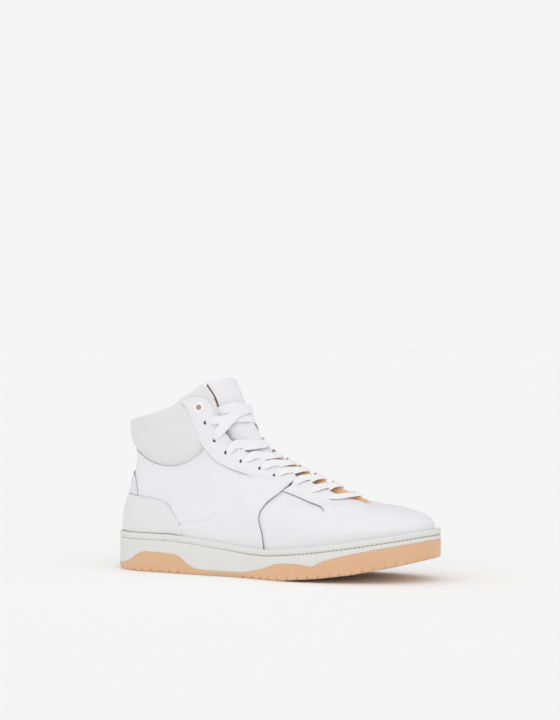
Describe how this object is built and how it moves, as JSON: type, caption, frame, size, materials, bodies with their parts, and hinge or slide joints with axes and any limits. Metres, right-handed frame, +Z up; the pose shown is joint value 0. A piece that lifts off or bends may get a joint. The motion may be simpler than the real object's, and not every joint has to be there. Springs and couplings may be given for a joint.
{
  "type": "high-top shoe",
  "caption": "Right high-top lace-up leather shoe with a padded ankle collar, a laced throat over a hinged tongue, and a rubber cup sole on a gum tread.",
  "frame": {"origin": "on the flat of the tread, on the shoe's long axis, 95 mm in front of the heel's back", "axes": "+X towards the toe, +Y towards the medial side, +Z up"},
  "size_m": [0.3, 0.1044, 0.1702],
  "materials": {
    "white_leather": "smooth full-grain leather, soft satin",
    "tan_leather": "natural tan lining leather",
    "lining_fabric": "soft off-white textile lining",
    "padding_foam": "open-cell foam",
    "stiffener_board": "pressed fibre board",
    "cup_rubber": "off-white moulded rubber, matt",
    "gum_rubber": "gum rubber, slightly glossy and translucent",
    "midsole_foam": "closed-cell foam",
    "shank_steel": "spring steel",
    "thread": "waxed heavy thread",
    "lace_cotton": "flat woven cotton tape",
    "eyelet_metal": "white lacquered ring",
    "aglet_plastic": "clear-white film"
  },
  "bodies": {
    "shoe": {"outsole": "gum_rubber", "cupsole": "cup_rubber", "sole_stitching": "thread", "midsole": "midsole_foam", "shank": "shank_steel", "insole_board": "stiffener_board", "vamp": "white_leather", "toe_puff": "stiffener_board", "vamp_lining": "lining_fabric", "wing_lateral": "white_leather", "wing_medial": "white_leather", "quarter_lateral": "white_leather", "quarter_medial": "white_leather", "quarter_lining": "lining_fabric", "heel_stiffener": "stiffener_board", "heel_counter": "white_leather", "backstay": "white_leather", "collar_panel": "white_leather", "collar_foam": "padding_foam", "eyestay_lateral": "white_leather", "eyestay_medial": "white_leather", "eyelet_rings": "eyelet_metal", "lace": "lace_cotton", "aglets": "aglet_plastic"},
    "tongue": {"tongue_face": "white_leather", "tongue_foam": "padding_foam", "tongue_base": "tan_leather", "tongue_lining": "tan_leather"},
    "sockliner": {"sockliner": "lining_fabric"}
  },
  "joints": [
    {"name": "tongue_fold", "type": "hinge", "parent": "shoe", "child": "tongue", "pos_m": [0.156, 0, 0.06], "axis": [0, -1, 0], "range_deg": [0, 26]},
    {"name": "sockliner_lift", "type": "hinge", "parent": "shoe", "child": "sockliner", "pos_m": [0.19, 0, 0.036], "axis": [0, 1, 0], "range_deg": [0, 5]}
  ]
}
